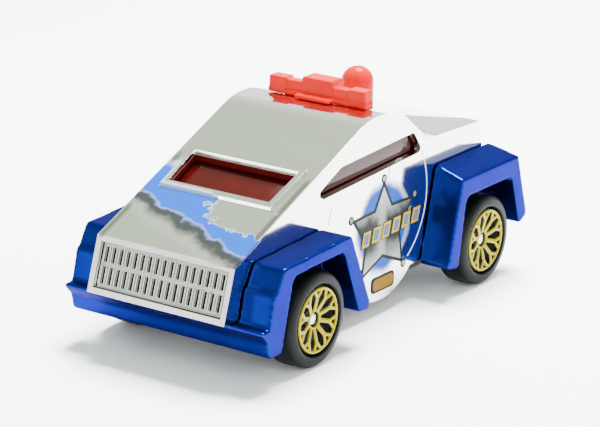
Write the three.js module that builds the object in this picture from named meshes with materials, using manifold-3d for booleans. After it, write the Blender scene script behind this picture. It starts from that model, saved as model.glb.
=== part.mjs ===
// Toy police truck, 1:64 class, as an assembly of separate pieces.
// Millimetres, +Z up. The nose points along -Y and the left side along +X.
// The origin is on the ground, in the middle of the whole toy's box.
import * as THREE from 'three';
import { mergeVertices } from 'three/addons/utils/BufferGeometryUtils.js';
import Module from 'manifold-3d';

const wasm = await Module();
wasm.setup();

// ---- driving dimensions -------------------------------------------------
const HALF_WIDTH = 15.7;          // outer face of the fenders
const SHELL_HALF_WIDTH = 10.8;    // flat sides of the plated shell
const SHELL_WALL = 1.0;
const TYRE_RADIUS = 6.35;
const FRONT_AXLE_Y = -18.7;
const REAR_AXLE_Y = 22.4;
const AXLE_Z = TYRE_RADIUS;
const AXLE_RADIUS = 0.55;
const CLEARANCE = 0.3;            // gap between pieces that touch on the toy

// Nose, hood and roof lines of the side view.
const NOSE_FOOT = [-32.83, 8.55];
const NOSE_TOP = [-30.57, 15.7];
const ROOF_APEX = [0.2, 28.7];    // where the hood line meets the tail line
const TAIL_TOP = [27.1, 21.7];
const TAIL_FOOT = [28.9, 13.5];
const ROOF_ROUNDING = 12;
const ROOF_STEPS = 10;
const SILL_Z = 5.2;               // lower edge of the shell's sides between the fenders
const SHELL_FOOT_Z = 8.6;         // lower edge beside the wheels
const SKIRT_CENTRE = [2.7, 12.6];
const SKIRT_RADIUS = 10.4;        // round-bottomed side panel

// Floor of the casting, base plate and bearings.
const FLOOR_BOTTOM = 7.2;
const FLOOR_TOP = 8.3;
const FLOOR_HALF_WIDTH = 9.4;
const BASE_BOTTOM = 3.5;
const BASE_TOP = 4.7;
const BASE_HALF_WIDTH = 9.2;
const BEARING_X = [7.4, 9.2];
const RIVET_Y = [-25.6, 20.2];
const RIVET_RADIUS = 0.9;

// Fender boxes.
const FENDER_INNER_X = 10.95;
const FENDER_SKIN = 1.1;

// Roof lights.
const BAR_FRONT_Y = 2.4;
const DOME_Y = 12.4;
const DOME_RADIUS = 2.2;
const DOME_TOP = 30.8;
const PEG_RADIUS = 0.7;
const PEG_X = 5.0;

// Side walls of the shell: where they drop to the sill, and the hollow inside.
const FRONT_DROP_Y = -8.5;
const REAR_DROP_Y = 13.0;
const NOSE_WALL = 2.9;            // thickness behind the slanted nose plane
const CAVITY_REAR_Y = 26.6;
const TAIL_INNER_Y = 28.2;
const BELOW_SHELL = 1;            // any height under the shell, for tools that cut from below

// Grille: a rim round the pocket in the nose, and slots up the panel from its lower edge.
const NOSE_HEIGHT = Math.hypot(NOSE_TOP[0] - NOSE_FOOT[0], NOSE_TOP[1] - NOSE_FOOT[1]);
const GRILLE_RIM = 0.75;
const GRILLE_DEPTH = 1.6;
const GRILLE_RECESS = 0.7;
const GRILLE_GAP = 0.12;
const SLOT_COUNT = 17;
const SLOT_PITCH = 1.14;
const SLOT_WIDTH = 0.5;
const SLOT_DEPTH = 0.9;
const SLOT_ROWS = [[0.55, 2.75], [3.35, 5.35]];

// Windscreen opening in plan: half widths at its lower and upper edge, and its raised rim.
const SCREEN_LOW = { y: -19.5, half: 7.95 };
const SCREEN_HIGH = { y: -13.35, half: 8.25 };
const SCREEN_RIM = 0.8;
const SCREEN_RISE = 0.4;
const SCREEN_SLAB_Y = [-22, -11.5];

// Rivets, and the posts in the shell that take them.
const POST_RADIUS = 2.0;
const POST_SKIN = 0.95;           // shell left between a post and the outside
const POST_BORE_DEPTH = 3;
const RIVET_FIT = 0.12;
const RIVET_FOOT = 3.6;
const RIVET_HEAD_RADIUS = 1.65;
const RIVET_HEAD_TOP = 3.95;
const RIVET_TOP = 10.8;

// Windows, one clear moulding under the roof.
const GLASS_DEPTH = SHELL_WALL + CLEARANCE;
const GLASS_THICKNESS = 0.8;
const GLASS_FOOT = 17.4;
const GLASS_HALF_WIDTH = 9.5;
const GLASS_Y = [-22.6, 13.4];

// Bearings: an axle slot in the casting, closed from below by a tower on the base plate.
const SLOT_FIT = 0.08;
const BEARING_HALF_LENGTH = 2;

// Wheels: inner face, hub bore, lace face and axle heads.
const WHEEL_INNER_X = 11.15;
const HUB_BORE = AXLE_RADIUS + 0.1;
const LACE_SPOKES = 10;
const LACE = { outer: 4.38, ring: 3.95, hub: 1.32, bore: 1.02, fork: 2.75, x: 14.9, thickness: 0.5 };
const AXLE_END = 14.58;
const AXLE_NECK = 14.28;
const AXLE_HEAD_RADIUS = 0.72;

// Fender boxes and wheel arches in side view, as [y, z, rounding radius].
const FRONT_FENDER = [
  [-29.65, 4.35, 0],
  [-29.9, 8.3, 0],
  [-28.95, 12.45, 0.3],
  [-28.4, 12.75, 0.3],
  [-26.9, 15.4, 0.8],
  [-11.9, 16.0, 0.8],
  [-7.15, 5.7, 0.6],
  [-7.6, 4.75, 0.5],
  [-9.8, 5.0, 0],
];
const FRONT_ARCH = [
  [-27.2, 4.0, 0],
  [-24.7, 13.85, 1.2],
  [-13.4, 14.1, 1.2],
  [-9.4, 4.4, 0],
];
const REAR_FENDER = [
  [12.15, 4.7, 0.4],
  [15.4, 18.1, 1.0],
  [29.6, 18.1, 1.0],
  [33.0, 7.6, 0.8],
  [31.1, 6.7, 0.3],
  [30.4, 6.7, 0],
  [14.6, 4.4, 0.4],
];
const REAR_ARCH = [
  [14.8, 3.8, 0],
  [16.4, 14.15, 1.4],
  [28.6, 14.15, 1.4],
  [31.2, 6.0, 0],
];
const REAR_TOP = { inner: 18.25, outer: 16.68 };   // height of the rear fenders' sloping tops

// Light bar: two end pods, two lower links and a taller centre block on a base.
const BAR_BLOCKS = [
  { x0: -7.7, x1: -5.0, y0: 0.0, y1: 2.0, top: 2.2 },
  { x0: -5.2, x1: -2.2, y0: 0.25, y1: 1.8, top: 1.95 },
  { x0: -2.4, x1: 2.4, y0: 0.1, y1: 3.0, top: 2.75 },
  { x0: 2.2, x1: 5.2, y0: 0.25, y1: 1.8, top: 1.95 },
  { x0: 5.0, x1: 7.7, y0: 0.0, y1: 2.0, top: 2.2 },
  { x0: -7.8, x1: 7.8, y0: -0.1, y1: 2.1, top: 0.5 },
  { x0: -2.8, x1: 2.8, y0: -1.2, y1: 2.8, top: 0.5 },
];
const BAR_LEVEL_Z = 28.2;       // the blocks' heights are given above this
const BAR_FOOT_Z = 26.7;        // the blocks start below the roof and are cut to it
const BAR_ROOF_GAP = 0.12;
const BAR_CUTTER = { front: -6, rear: 12, foot: 20, halfWidth: 9 };
const PEG_OFFSET_Y = 1.25;
const PEG_FIT = 0.15;
const PEG_FOOT_Z = 26.9;
const PEG_TOP_Z = 29;

const FINISH = {
  chrome: { color: 0xdfe2dc, roughness: 0.08, metalness: 1.0 },
  blue: { color: 0x1e3f9e, roughness: 0.3, metalness: 0.5 },
  red: { color: 0xd93030, roughness: 0.1, metalness: 0.0 },
  black: { color: 0x1d1e20, roughness: 0.6, metalness: 0.0 },
  tyre: { color: 0x3b3d3d, roughness: 0.8, metalness: 0.0 },
  gold: { color: 0xd9c868, roughness: 0.3, metalness: 0.8 },
  steel: { color: 0xb5b3ae, roughness: 0.35, metalness: 1.0 },
  grey: { color: 0x8d8b86, roughness: 0.6, metalness: 0.0 },
};

const toy = new THREE.Group();

// ---- helpers ------------------------------------------------------------
function add(name, geometry, finish) {
  geometry.computeVertexNormals();
  const mesh = new THREE.Mesh(geometry, new THREE.MeshStandardMaterial(FINISH[finish]));
  mesh.name = name;
  toy.add(mesh);
  return mesh;
}

function solid(geometry) {
  const bare = geometry.clone();
  bare.deleteAttribute('normal');
  bare.deleteAttribute('uv');
  const merged = mergeVertices(bare, 1e-4);
  const mesh = new wasm.Mesh({
    numProp: 3,
    vertProperties: new Float32Array(merged.attributes.position.array),
    triVerts: new Uint32Array(merged.index.array),
  });
  return new wasm.Manifold(mesh);
}

function geometryOf(manifold) {
  const mesh = manifold.getMesh();
  const geometry = new THREE.BufferGeometry();
  geometry.setAttribute('position', new THREE.BufferAttribute(new Float32Array(mesh.vertProperties), 3));
  geometry.setIndex(new THREE.BufferAttribute(new Uint32Array(mesh.triVerts), 1));
  return geometry;
}

function joined(parts) {
  return parts.reduce((sum, part) => sum.add(part));
}

function cut(body, tools) {
  return tools.reduce((rest, tool) => rest.subtract(tool), body);
}

// A box between two corners.
function box(low, high) {
  const size = high.map((value, i) => value - low[i]);
  const geometry = new THREE.BoxGeometry(...size);
  geometry.translate(...low.map((value, i) => value + size[i] / 2));
  return solid(geometry);
}

// Turns an extrusion along +Z into one along +X, with its outline read as (y, z).
function layAlongX(geometry) {
  const turn = new THREE.Matrix4();
  turn.makeBasis(new THREE.Vector3(0, 1, 0), new THREE.Vector3(0, 0, 1), new THREE.Vector3(1, 0, 0));
  geometry.applyMatrix4(turn);
}

function vectors(points) {
  return points.map(([u, v]) => new THREE.Vector2(u, v));
}

// Extrudes a side-view outline, given as (y, z), from x0 to x1.
function prism(outline, x0, x1) {
  const shape = new THREE.Shape(vectors(outline));
  const geometry = new THREE.ExtrudeGeometry(shape, { depth: x1 - x0, bevelEnabled: false });
  layAlongX(geometry);
  geometry.translate(x0, 0, 0);
  return solid(geometry);
}

// A solid of revolution about an axis along X; the profile is (radius, x).
function turnedX(profile, y, z, segments) {
  const geometry = new THREE.LatheGeometry(vectors(profile), segments);
  geometry.rotateZ(-Math.PI / 2);
  geometry.translate(0, y, z);
  return geometry;
}

// A solid of revolution about a vertical axis; the profile is (radius, z).
function turnedZ(profile, x, y, segments) {
  const geometry = new THREE.LatheGeometry(vectors(profile), segments);
  geometry.rotateX(Math.PI / 2);
  geometry.translate(x, y, 0);
  return geometry;
}

// A vertical round tool or peg.
function post(radius, low, high, x, y) {
  return solid(turnedZ([[0, low], [radius, low], [radius, high], [0, high]], x, y, 24));
}

// Outline from corners [y, z, rounding radius]; a rounded corner becomes an arc.
function rounded(corners, steps = 5) {
  const points = [];
  corners.forEach(([y, z, radius = 0], i) => {
    const here = new THREE.Vector2(y, z);
    if (radius === 0) {
      points.push([y, z]);
      return;
    }
    const before = new THREE.Vector2(...corners[(i + corners.length - 1) % corners.length]);
    const after = new THREE.Vector2(...corners[(i + 1) % corners.length]);
    const a = before.sub(here).normalize();
    const b = after.sub(here).normalize();
    const half = Math.acos(THREE.MathUtils.clamp(a.dot(b), -1, 1)) / 2;
    const reach = radius / Math.tan(half);
    const start = here.clone().addScaledVector(a, reach);
    const end = here.clone().addScaledVector(b, reach);
    const centre = here.clone().addScaledVector(a.clone().add(b).normalize(), radius / Math.sin(half));
    const from = start.clone().sub(centre).angle();
    let sweep = end.clone().sub(centre).angle() - from;
    if (sweep > Math.PI) sweep -= 2 * Math.PI;
    if (sweep < -Math.PI) sweep += 2 * Math.PI;
    for (let k = 0; k <= steps; k += 1) {
      const angle = from + sweep * k / steps;
      points.push([centre.x + radius * Math.cos(angle), centre.y + radius * Math.sin(angle)]);
    }
  });
  return points;
}

function hoodZ(y) {
  const slope = (ROOF_APEX[1] - NOSE_TOP[1]) / (ROOF_APEX[0] - NOSE_TOP[0]);
  return NOSE_TOP[1] + slope * (y - NOSE_TOP[0]);
}

function tailZ(y) {
  const slope = (ROOF_APEX[1] - TAIL_TOP[1]) / (TAIL_TOP[0] - ROOF_APEX[0]);
  return TAIL_TOP[1] + slope * (TAIL_TOP[0] - y);
}

const HOOD_ANGLE = Math.atan2(ROOF_APEX[1] - NOSE_TOP[1], ROOF_APEX[0] - NOSE_TOP[0]);
const TAIL_ANGLE = Math.atan2(ROOF_APEX[1] - TAIL_TOP[1], TAIL_TOP[0] - ROOF_APEX[0]);

// Hood and tail lines moved inwards by a depth, between two y values, with the roof rounded.
function roofLine(depth, yFront, yRear) {
  const hoodDrop = depth / Math.cos(HOOD_ANGLE);
  const tailDrop = depth / Math.cos(TAIL_ANGLE);
  const slopes = Math.tan(HOOD_ANGLE) + Math.tan(TAIL_ANGLE);
  const apexY = ROOF_APEX[0] + (hoodDrop - tailDrop) / slopes;
  return [
    [yFront, hoodZ(yFront) - hoodDrop],
    [apexY, hoodZ(apexY) - hoodDrop, ROOF_ROUNDING - depth],
    [yRear, tailZ(yRear) - tailDrop],
  ];
}

// ---- plated upper shell -------------------------------------------------
function skirtOutline() {
  const [cy, cz] = SKIRT_CENTRE;
  const start = Math.asin((SILL_Z - cz) / SKIRT_RADIUS);
  const points = [];
  for (let k = 0; k <= 20; k += 1) {
    const angle = start + (-Math.PI - 2 * start) * k / 20;
    points.push([cy + SKIRT_RADIUS * Math.cos(angle), cz + SKIRT_RADIUS * Math.sin(angle)]);
  }
  return points;
}

function shellOutline() {
  const roof = rounded([NOSE_FOOT, NOSE_TOP, [...ROOF_APEX, ROOF_ROUNDING], TAIL_TOP, TAIL_FOOT], ROOF_STEPS);
  return [
    ...roof,
    [TAIL_INNER_Y, TAIL_FOOT[1]],
    [TAIL_INNER_Y, SHELL_FOOT_Z],
    [REAR_DROP_Y, SHELL_FOOT_Z],
    [REAR_DROP_Y, SILL_Z],
    ...skirtOutline(),
    [FRONT_DROP_Y, SILL_Z],
    [FRONT_DROP_Y, SHELL_FOOT_Z],
  ];
}

// Frame of the slanted nose plane: origin at its foot, up the plane, and into the shell.
function nosePoint(up, depth) {
  const along = [(NOSE_TOP[0] - NOSE_FOOT[0]) / NOSE_HEIGHT, (NOSE_TOP[1] - NOSE_FOOT[1]) / NOSE_HEIGHT];
  return [NOSE_FOOT[0] + along[0] * up + along[1] * depth, NOSE_FOOT[1] + along[1] * up - along[0] * depth];
}

function nosePocket(margin, front, back) {
  return [
    nosePoint(margin, front),
    nosePoint(margin, back),
    nosePoint(NOSE_HEIGHT - margin, back),
    nosePoint(NOSE_HEIGHT - margin, front),
  ];
}

function screenPrism(grow, zLow, zHigh) {
  const shape = new THREE.Shape([
    new THREE.Vector2(-SCREEN_LOW.half - grow, SCREEN_LOW.y - grow),
    new THREE.Vector2(SCREEN_LOW.half + grow, SCREEN_LOW.y - grow),
    new THREE.Vector2(SCREEN_HIGH.half + grow, SCREEN_HIGH.y + grow),
    new THREE.Vector2(-SCREEN_HIGH.half - grow, SCREEN_HIGH.y + grow),
  ]);
  const geometry = new THREE.ExtrudeGeometry(shape, { depth: zHigh - zLow, bevelEnabled: false });
  geometry.translate(0, 0, zLow);
  return solid(geometry);
}

// Raised rim round the windscreen: a slab that follows the hood, trimmed to the frame.
function screenRim() {
  const [y0, y1] = SCREEN_SLAB_Y;
  const rise = SCREEN_RISE / Math.cos(HOOD_ANGLE);
  const slab = prism([
    [y0, hoodZ(y0) - 0.3],
    [y1, hoodZ(y1) - 0.3],
    [y1, hoodZ(y1) + rise],
    [y0, hoodZ(y0) + rise],
  ], -SHELL_HALF_WIDTH, SHELL_HALF_WIDTH);
  return slab.intersect(screenPrism(SCREEN_RIM, 10, 30));
}

function sideWindowOutline() {
  return rounded([
    [-12.3, 20.2, 0.4],
    [-11.4, 19.7, 0.5],
    [11.4, 20.75, 0.5],
    [12.0, 21.2, 0.5],
    [10.0, 23.85, 0.8],
    [-7.4, 23.1, 2.0],
    [-12.2, 20.9, 0.3],
  ], 3);
}

function upperShell() {
  const outer = prism(shellOutline(), -SHELL_HALF_WIDTH, SHELL_HALF_WIDTH);
  const rimmed = outer.add(screenRim());
  const noseBack = nosePoint(0, NOSE_WALL);
  const noseBackTop = nosePoint(NOSE_HEIGHT, NOSE_WALL);
  const frontY = noseBackTop[0] + CLEARANCE;
  const cavity = prism([
    [noseBack[0], BELOW_SHELL],
    ...rounded([
      [noseBackTop[0], noseBackTop[1] - 2.4],
      ...roofLine(SHELL_WALL, frontY, TAIL_TOP[0] - SHELL_WALL),
      [TAIL_FOOT[0] - SHELL_WALL - 0.25, TAIL_FOOT[1]],
    ], 10),
    [CAVITY_REAR_Y, BELOW_SHELL],
  ], -SHELL_HALF_WIDTH + SHELL_WALL, SHELL_HALF_WIDTH - SHELL_WALL);
  const pocket = prism(nosePocket(GRILLE_RIM, -1, GRILLE_RECESS + GRILLE_DEPTH),
    -SHELL_HALF_WIDTH + GRILLE_RIM, SHELL_HALF_WIDTH - GRILLE_RIM);
  const windows = prism(sideWindowOutline(), -20, 20);
  const roofHoles = [-1, 1].map((side) =>
    roofHole(side * PEG_X, BAR_FRONT_Y + PEG_OFFSET_Y, PEG_RADIUS + PEG_FIT));
  roofHoles.push(roofHole(0, DOME_Y, 1.35));
  const hollow = cut(rimmed, [cavity, pocket, screenPrism(0, 10, 30), windows, ...roofHoles]);
  return hollow.add(rivetPost(RIVET_Y[0])).add(rivetPost(RIVET_Y[1]));
}

function roofHole(x, y, radius) {
  return post(radius, 20, 32, x, y);
}

// Post inside the shell that takes a rivet from below.
function rivetPost(y) {
  const top = (y < 0 ? hoodZ(y) : tailZ(y)) - POST_SKIN;
  const foot = FLOOR_TOP + CLEARANCE;
  const bore = RIVET_RADIUS + RIVET_FIT;
  return post(POST_RADIUS, foot, top, 0, y).subtract(post(bore, foot - 1, foot + POST_BORE_DEPTH, 0, y));
}

// Slotted grille panel that stands in the nose pocket.
function grillePanel() {
  const margin = GRILLE_RIM + GRILLE_GAP;
  const half = SHELL_HALF_WIDTH - margin;
  const panel = prism(nosePocket(margin, GRILLE_RECESS, GRILLE_RECESS + GRILLE_DEPTH - 0.15), -half, half);
  const slots = [];
  SLOT_ROWS.forEach(([low, high]) => {
    for (let k = 0; k < SLOT_COUNT; k += 1) {
      const x = (k - (SLOT_COUNT - 1) / 2) * SLOT_PITCH;
      slots.push(prism([
        nosePoint(margin + low, GRILLE_RECESS - 0.5),
        nosePoint(margin + low, GRILLE_RECESS + SLOT_DEPTH),
        nosePoint(margin + high, GRILLE_RECESS + SLOT_DEPTH),
        nosePoint(margin + high, GRILLE_RECESS - 0.5),
      ], x - SLOT_WIDTH / 2, x + SLOT_WIDTH / 2));
    }
  });
  return cut(panel, slots);
}

// ---- blue casting: bumper, four fenders, floor --------------------------
function fender(outline, arch, side) {
  const inner = FENDER_INNER_X;
  const body = prism(rounded(outline, 4), inner, HALF_WIDTH);
  const well = prism(rounded(arch, 4), inner - 1, HALF_WIDTH + 1);
  const whole = body.subtract(well);
  return side > 0 ? whole : whole.mirror([1, 0, 0]);
}

// The rear fenders' tops fall towards the outside.
function rearTopSlope(side) {
  const shape = new THREE.Shape([
    new THREE.Vector2(FENDER_INNER_X - 0.5, REAR_TOP.inner),
    new THREE.Vector2(HALF_WIDTH + 0.5, REAR_TOP.outer),
    new THREE.Vector2(HALF_WIDTH + 0.5, 20),
    new THREE.Vector2(FENDER_INNER_X - 0.5, 20),
  ]);
  const geometry = new THREE.ExtrudeGeometry(shape, { depth: 24, bevelEnabled: false });
  geometry.rotateX(Math.PI / 2);
  geometry.translate(0, 34, 0);
  const wedge = solid(geometry);
  return side > 0 ? wedge : wedge.mirror([1, 0, 0]);
}

function bumper() {
  return prism(rounded([
    [-29.65, 4.35, 0.4],
    [-30.2, 6.6, 1.0],
    [-31.5, 8.0, 0.25],
    [-31.2, 8.3, 0.1],
    [-27.3, 8.3, 0],
    [-27.3, 4.35, 0],
  ], 3), -HALF_WIDTH, HALF_WIDTH);
}

function rearBumper() {
  return prism(rounded([
    [29.2, 7.2, 0],
    [31.2, 7.2, 0.3],
    [32.1, 9.0, 0.4],
    [31.2, 10.4, 0.3],
    [30.2, 13.1, 0.4],
    [29.2, 13.1, 0],
  ], 3), -FENDER_INNER_X - 0.2, FENDER_INNER_X + 0.2);
}

function bearing(axleY, side) {
  const x0 = side > 0 ? BEARING_X[0] : -BEARING_X[1];
  const x1 = side > 0 ? BEARING_X[1] : -BEARING_X[0];
  const slotHalf = AXLE_RADIUS + SLOT_FIT;
  const reach = BEARING_HALF_LENGTH;
  const block = box([x0, axleY - reach, BASE_TOP + 0.2], [x1, axleY + reach, FLOOR_BOTTOM + 0.2]);
  const slot = box([x0 - 1, axleY - slotHalf, BASE_TOP], [x1 + 1, axleY + slotHalf, AXLE_Z + slotHalf]);
  return block.subtract(slot);
}

function casting() {
  const floor = box([-FLOOR_HALF_WIDTH, -28, FLOOR_BOTTOM], [FLOOR_HALF_WIDTH, 29.6, FLOOR_TOP]);
  const parts = [bumper(), rearBumper(), floor];
  [-1, 1].forEach((side) => {
    parts.push(fender(FRONT_FENDER, FRONT_ARCH, side));
    parts.push(fender(REAR_FENDER, REAR_ARCH, side).subtract(rearTopSlope(side)));
    [FRONT_AXLE_Y, REAR_AXLE_Y].forEach((axleY) => parts.push(bearing(axleY, side)));
    // Arms from the floor to the fender walls, under the shell's lower edge.
    [[-10.3, -8.8], [13.3, 14.9], [-28.5, -26.6]].forEach(([y0, y1]) => {
      const x = [side * (FLOOR_HALF_WIDTH - 0.5), side * (FENDER_INNER_X + 0.5)].sort((a, b) => a - b);
      parts.push(box([x[0], y0, FLOOR_BOTTOM], [x[1], y1, FLOOR_TOP]));
    });
  });
  const holes = RIVET_Y.map((y) => post(RIVET_RADIUS + RIVET_FIT, 5, 10, 0, y));
  return cut(joined(parts), holes);
}

// ---- glazing and roof lights --------------------------------------------
function glazing() {
  const [front, rear] = GLASS_Y;
  const wall = GLASS_THICKNESS;
  const outer = prism([
    ...rounded(roofLine(GLASS_DEPTH, front, rear), 8),
    [rear, GLASS_FOOT],
    [front, GLASS_FOOT],
  ], -GLASS_HALF_WIDTH, GLASS_HALF_WIDTH);
  const inner = prism([
    ...rounded(roofLine(GLASS_DEPTH + wall, front + wall, rear - wall), 8),
    [rear - wall, GLASS_FOOT - 5],
    [front + wall, GLASS_FOOT - 5],
  ], wall - GLASS_HALF_WIDTH, GLASS_HALF_WIDTH - wall);
  const end = box([-12, -30, 10], [12, -21.2, 30]);
  return cut(outer, [inner, end]);
}

// Blocks whose feet are cut to the curve of the roof, on two pegs.
function lightBar() {
  const blocks = BAR_BLOCKS.map(({ x0, x1, y0, y1, top }) =>
    box([x0, BAR_FRONT_Y + y0, BAR_FOOT_Z], [x1, BAR_FRONT_Y + y1, BAR_LEVEL_Z + top]));
  const { front, rear, foot, halfWidth } = BAR_CUTTER;
  const curve = rounded(roofLine(-BAR_ROOF_GAP, front, rear), ROOF_STEPS);
  const under = prism([...curve, [rear, foot], [front, foot]], -halfWidth, halfWidth);
  const pegs = [-1, 1].map((side) =>
    post(PEG_RADIUS, PEG_FOOT_Z, PEG_TOP_Z, side * PEG_X, BAR_FRONT_Y + PEG_OFFSET_Y));
  return joined([joined(blocks).subtract(under), ...pegs]);
}

// Round-topped cylinder cut to the slope of the roof, on a peg.
function beaconDome() {
  const base = 24.5;
  const steps = 6;
  const crown = DOME_RADIUS * 0.85;
  const straight = DOME_TOP - crown;
  const profile = [[0, base], [DOME_RADIUS, base], [DOME_RADIUS, straight]];
  for (let k = 1; k < steps; k += 1) {
    const angle = k / steps * Math.PI / 2;
    profile.push([DOME_RADIUS * Math.cos(angle), straight + crown * Math.sin(angle)]);
  }
  profile.push([0, DOME_TOP]);
  const dome = solid(turnedZ(profile, 0, DOME_Y, 28));
  const under = prism([[6, 15], [20, 15], [20, tailZ(20) + 0.1], [6, tailZ(6) + 0.1]], -5, 5);
  return dome.subtract(under).add(post(1.2, base, 27, 0, DOME_Y));
}

// ---- inside and underneath ----------------------------------------------
function interiorTray() {
  const foot = FLOOR_TOP + CLEARANCE;
  const parts = [
    box([-8.4, -20.6, foot], [8.4, 12.3, foot + 1.0]),
    box([-8.4, -20.6, foot], [8.4, -14.0, 15.4]),
    box([-8.4, 5.8, foot], [8.4, 12.3, 16.8]),
  ];
  [-4.1, 4.1].forEach((x) => {
    parts.push(box([x - 2.8, -5.0, foot], [x + 2.8, 1.5, 12.4]));
    parts.push(prism([[1.2, foot], [3.4, foot], [4.6, 19.2], [2.8, 19.2]], x - 2.8, x + 2.8));
  });
  return joined(parts);
}

function basePlate() {
  const parts = [
    box([-BASE_HALF_WIDTH, -26.9, BASE_BOTTOM], [BASE_HALF_WIDTH, 28.4, BASE_TOP]),
    box([-6.4, -13.5, BASE_BOTTOM - 0.5], [6.4, 16.5, BASE_BOTTOM + 0.5]),
  ];
  [FRONT_AXLE_Y, REAR_AXLE_Y].forEach((axleY) => {
    [-1, 1].forEach((side) => {
      const x = [side * (BEARING_X[0] + 0.1), side * (BEARING_X[1] - 0.1)].sort((a, b) => a - b);
      const top = AXLE_Z - AXLE_RADIUS - SLOT_FIT;
      parts.push(box([x[0], axleY - 0.5, BASE_TOP - 0.3], [x[1], axleY + 0.5, top]));
    });
  });
  // Counterbored rivet holes.
  const holes = RIVET_Y.flatMap((y) => [
    post(RIVET_HEAD_RADIUS + 0.25, 2, RIVET_HEAD_TOP + 0.1, 0, y),
    post(RIVET_RADIUS + RIVET_FIT, 2, 6, 0, y),
  ]);
  return cut(joined(parts), holes);
}

function rivet(y) {
  return turnedZ([
    [0, RIVET_FOOT],
    [RIVET_HEAD_RADIUS - 0.25, RIVET_FOOT],
    [RIVET_HEAD_RADIUS, RIVET_FOOT + 0.2],
    [RIVET_HEAD_RADIUS, RIVET_HEAD_TOP],
    [RIVET_RADIUS, RIVET_HEAD_TOP],
    [RIVET_RADIUS, RIVET_TOP],
    [0, RIVET_TOP],
  ], 0, y, 24);
}

// ---- wheels and axles ---------------------------------------------------
// Black wheel moulding: tread, shoulder, sidewall and the dished web behind the lace.
function tyreProfile() {
  return [
    [HUB_BORE, 11.9],
    [4.8, 11.9],
    [5.3, WHEEL_INNER_X],
    [6.15, WHEEL_INNER_X],
    [TYRE_RADIUS, WHEEL_INNER_X + 0.25],
    [TYRE_RADIUS, 14.75],
    [6.1, 15.2],
    [5.2, 15.42],
    [4.5, 15.45],
    [4.45, 14.2],
    [HUB_BORE, 14.2],
    [HUB_BORE, 11.9],
  ];
}

function polar(radius, angle) {
  return new THREE.Vector2(radius * Math.cos(angle), radius * Math.sin(angle));
}

// Plated lace face: ring, hub ring and ten forked spokes, as a plate with openings.
function laceFace() {
  const shape = new THREE.Shape();
  shape.absarc(0, 0, LACE.outer, 0, 2 * Math.PI, false);
  const bore = new THREE.Path();
  bore.absarc(0, 0, LACE.bore, 0, 2 * Math.PI, true);
  shape.holes.push(bore);
  const step = 2 * Math.PI / LACE_SPOKES;
  for (let k = 0; k < LACE_SPOKES; k += 1) {
    const mid = k * step;
    // Long opening between two spokes, then the small one inside a fork.
    shape.holes.push(new THREE.Path([
      polar(LACE.hub, mid - 0.13),
      polar(LACE.hub, mid + 0.13),
      polar(2.2, mid + 0.235),
      polar(3.1, mid + 0.17),
      polar(LACE.ring, mid + 0.1),
      polar(LACE.ring, mid - 0.1),
      polar(3.1, mid - 0.17),
      polar(2.2, mid - 0.235),
    ]));
    const fork = mid + step / 2;
    shape.holes.push(new THREE.Path([
      polar(LACE.fork, fork),
      polar(3.3, fork + 0.075),
      polar(LACE.ring, fork + 0.15),
      polar(LACE.ring, fork - 0.15),
      polar(3.3, fork - 0.075),
    ]));
  }
  return shape;
}

function rim(side, y) {
  const options = { depth: LACE.thickness, bevelEnabled: false, curveSegments: 20 };
  const geometry = new THREE.ExtrudeGeometry(laceFace(), options);
  layAlongX(geometry);
  geometry.translate(LACE.x, 0, 0);
  if (side < 0) geometry.rotateZ(Math.PI);
  geometry.translate(0, y, AXLE_Z);
  return geometry;
}

function tyre(side, y) {
  const geometry = turnedX(tyreProfile(), 0, 0, 40);
  if (side < 0) geometry.rotateZ(Math.PI);
  geometry.translate(0, y, AXLE_Z);
  return geometry;
}

function axle(y) {
  return turnedX([
    [0, -AXLE_END],
    [AXLE_HEAD_RADIUS, -AXLE_END],
    [AXLE_HEAD_RADIUS, -AXLE_NECK],
    [AXLE_RADIUS, -AXLE_NECK],
    [AXLE_RADIUS, AXLE_NECK],
    [AXLE_HEAD_RADIUS, AXLE_NECK],
    [AXLE_HEAD_RADIUS, AXLE_END],
    [0, AXLE_END],
  ], y, AXLE_Z, 24);
}

// ---- assembly -----------------------------------------------------------
add('upper_shell', geometryOf(upperShell()), 'chrome');
add('grille_panel', geometryOf(grillePanel()), 'chrome');
add('fender_casting', geometryOf(casting()), 'blue');
add('window_glazing', geometryOf(glazing()), 'red');
add('roof_light_bar', geometryOf(lightBar()), 'red');
add('beacon_dome', geometryOf(beaconDome()), 'red');
add('interior_tray', geometryOf(interiorTray()), 'grey');
add('base_plate', geometryOf(basePlate()), 'black');
['front', 'rear'].forEach((end, i) => {
  const axleY = [FRONT_AXLE_Y, REAR_AXLE_Y][i];
  add(`${end}_rivet`, rivet(RIVET_Y[i]), 'steel');
  add(`${end}_axle`, axle(axleY), 'steel');
  [['left', 1], ['right', -1]].forEach(([name, side]) => {
    add(`${end}_${name}_tyre`, tyre(side, axleY), 'tyre');
    add(`${end}_${name}_rim`, rim(side, axleY), 'gold');
  });
});

export default toy;
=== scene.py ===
"""Looks of a small die-cast toy police truck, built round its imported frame.

Shapes are given in millimetres and turned into metres when a mesh is made. The truck's nose points
along -Y, its left side along +X, and it stands on the ground at z = 0.
"""

import logging
from collections.abc import Callable, Sequence
from dataclasses import dataclass
from enum import Enum

import bmesh
import bpy
import numpy as np
from mathutils import Matrix, Vector

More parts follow.
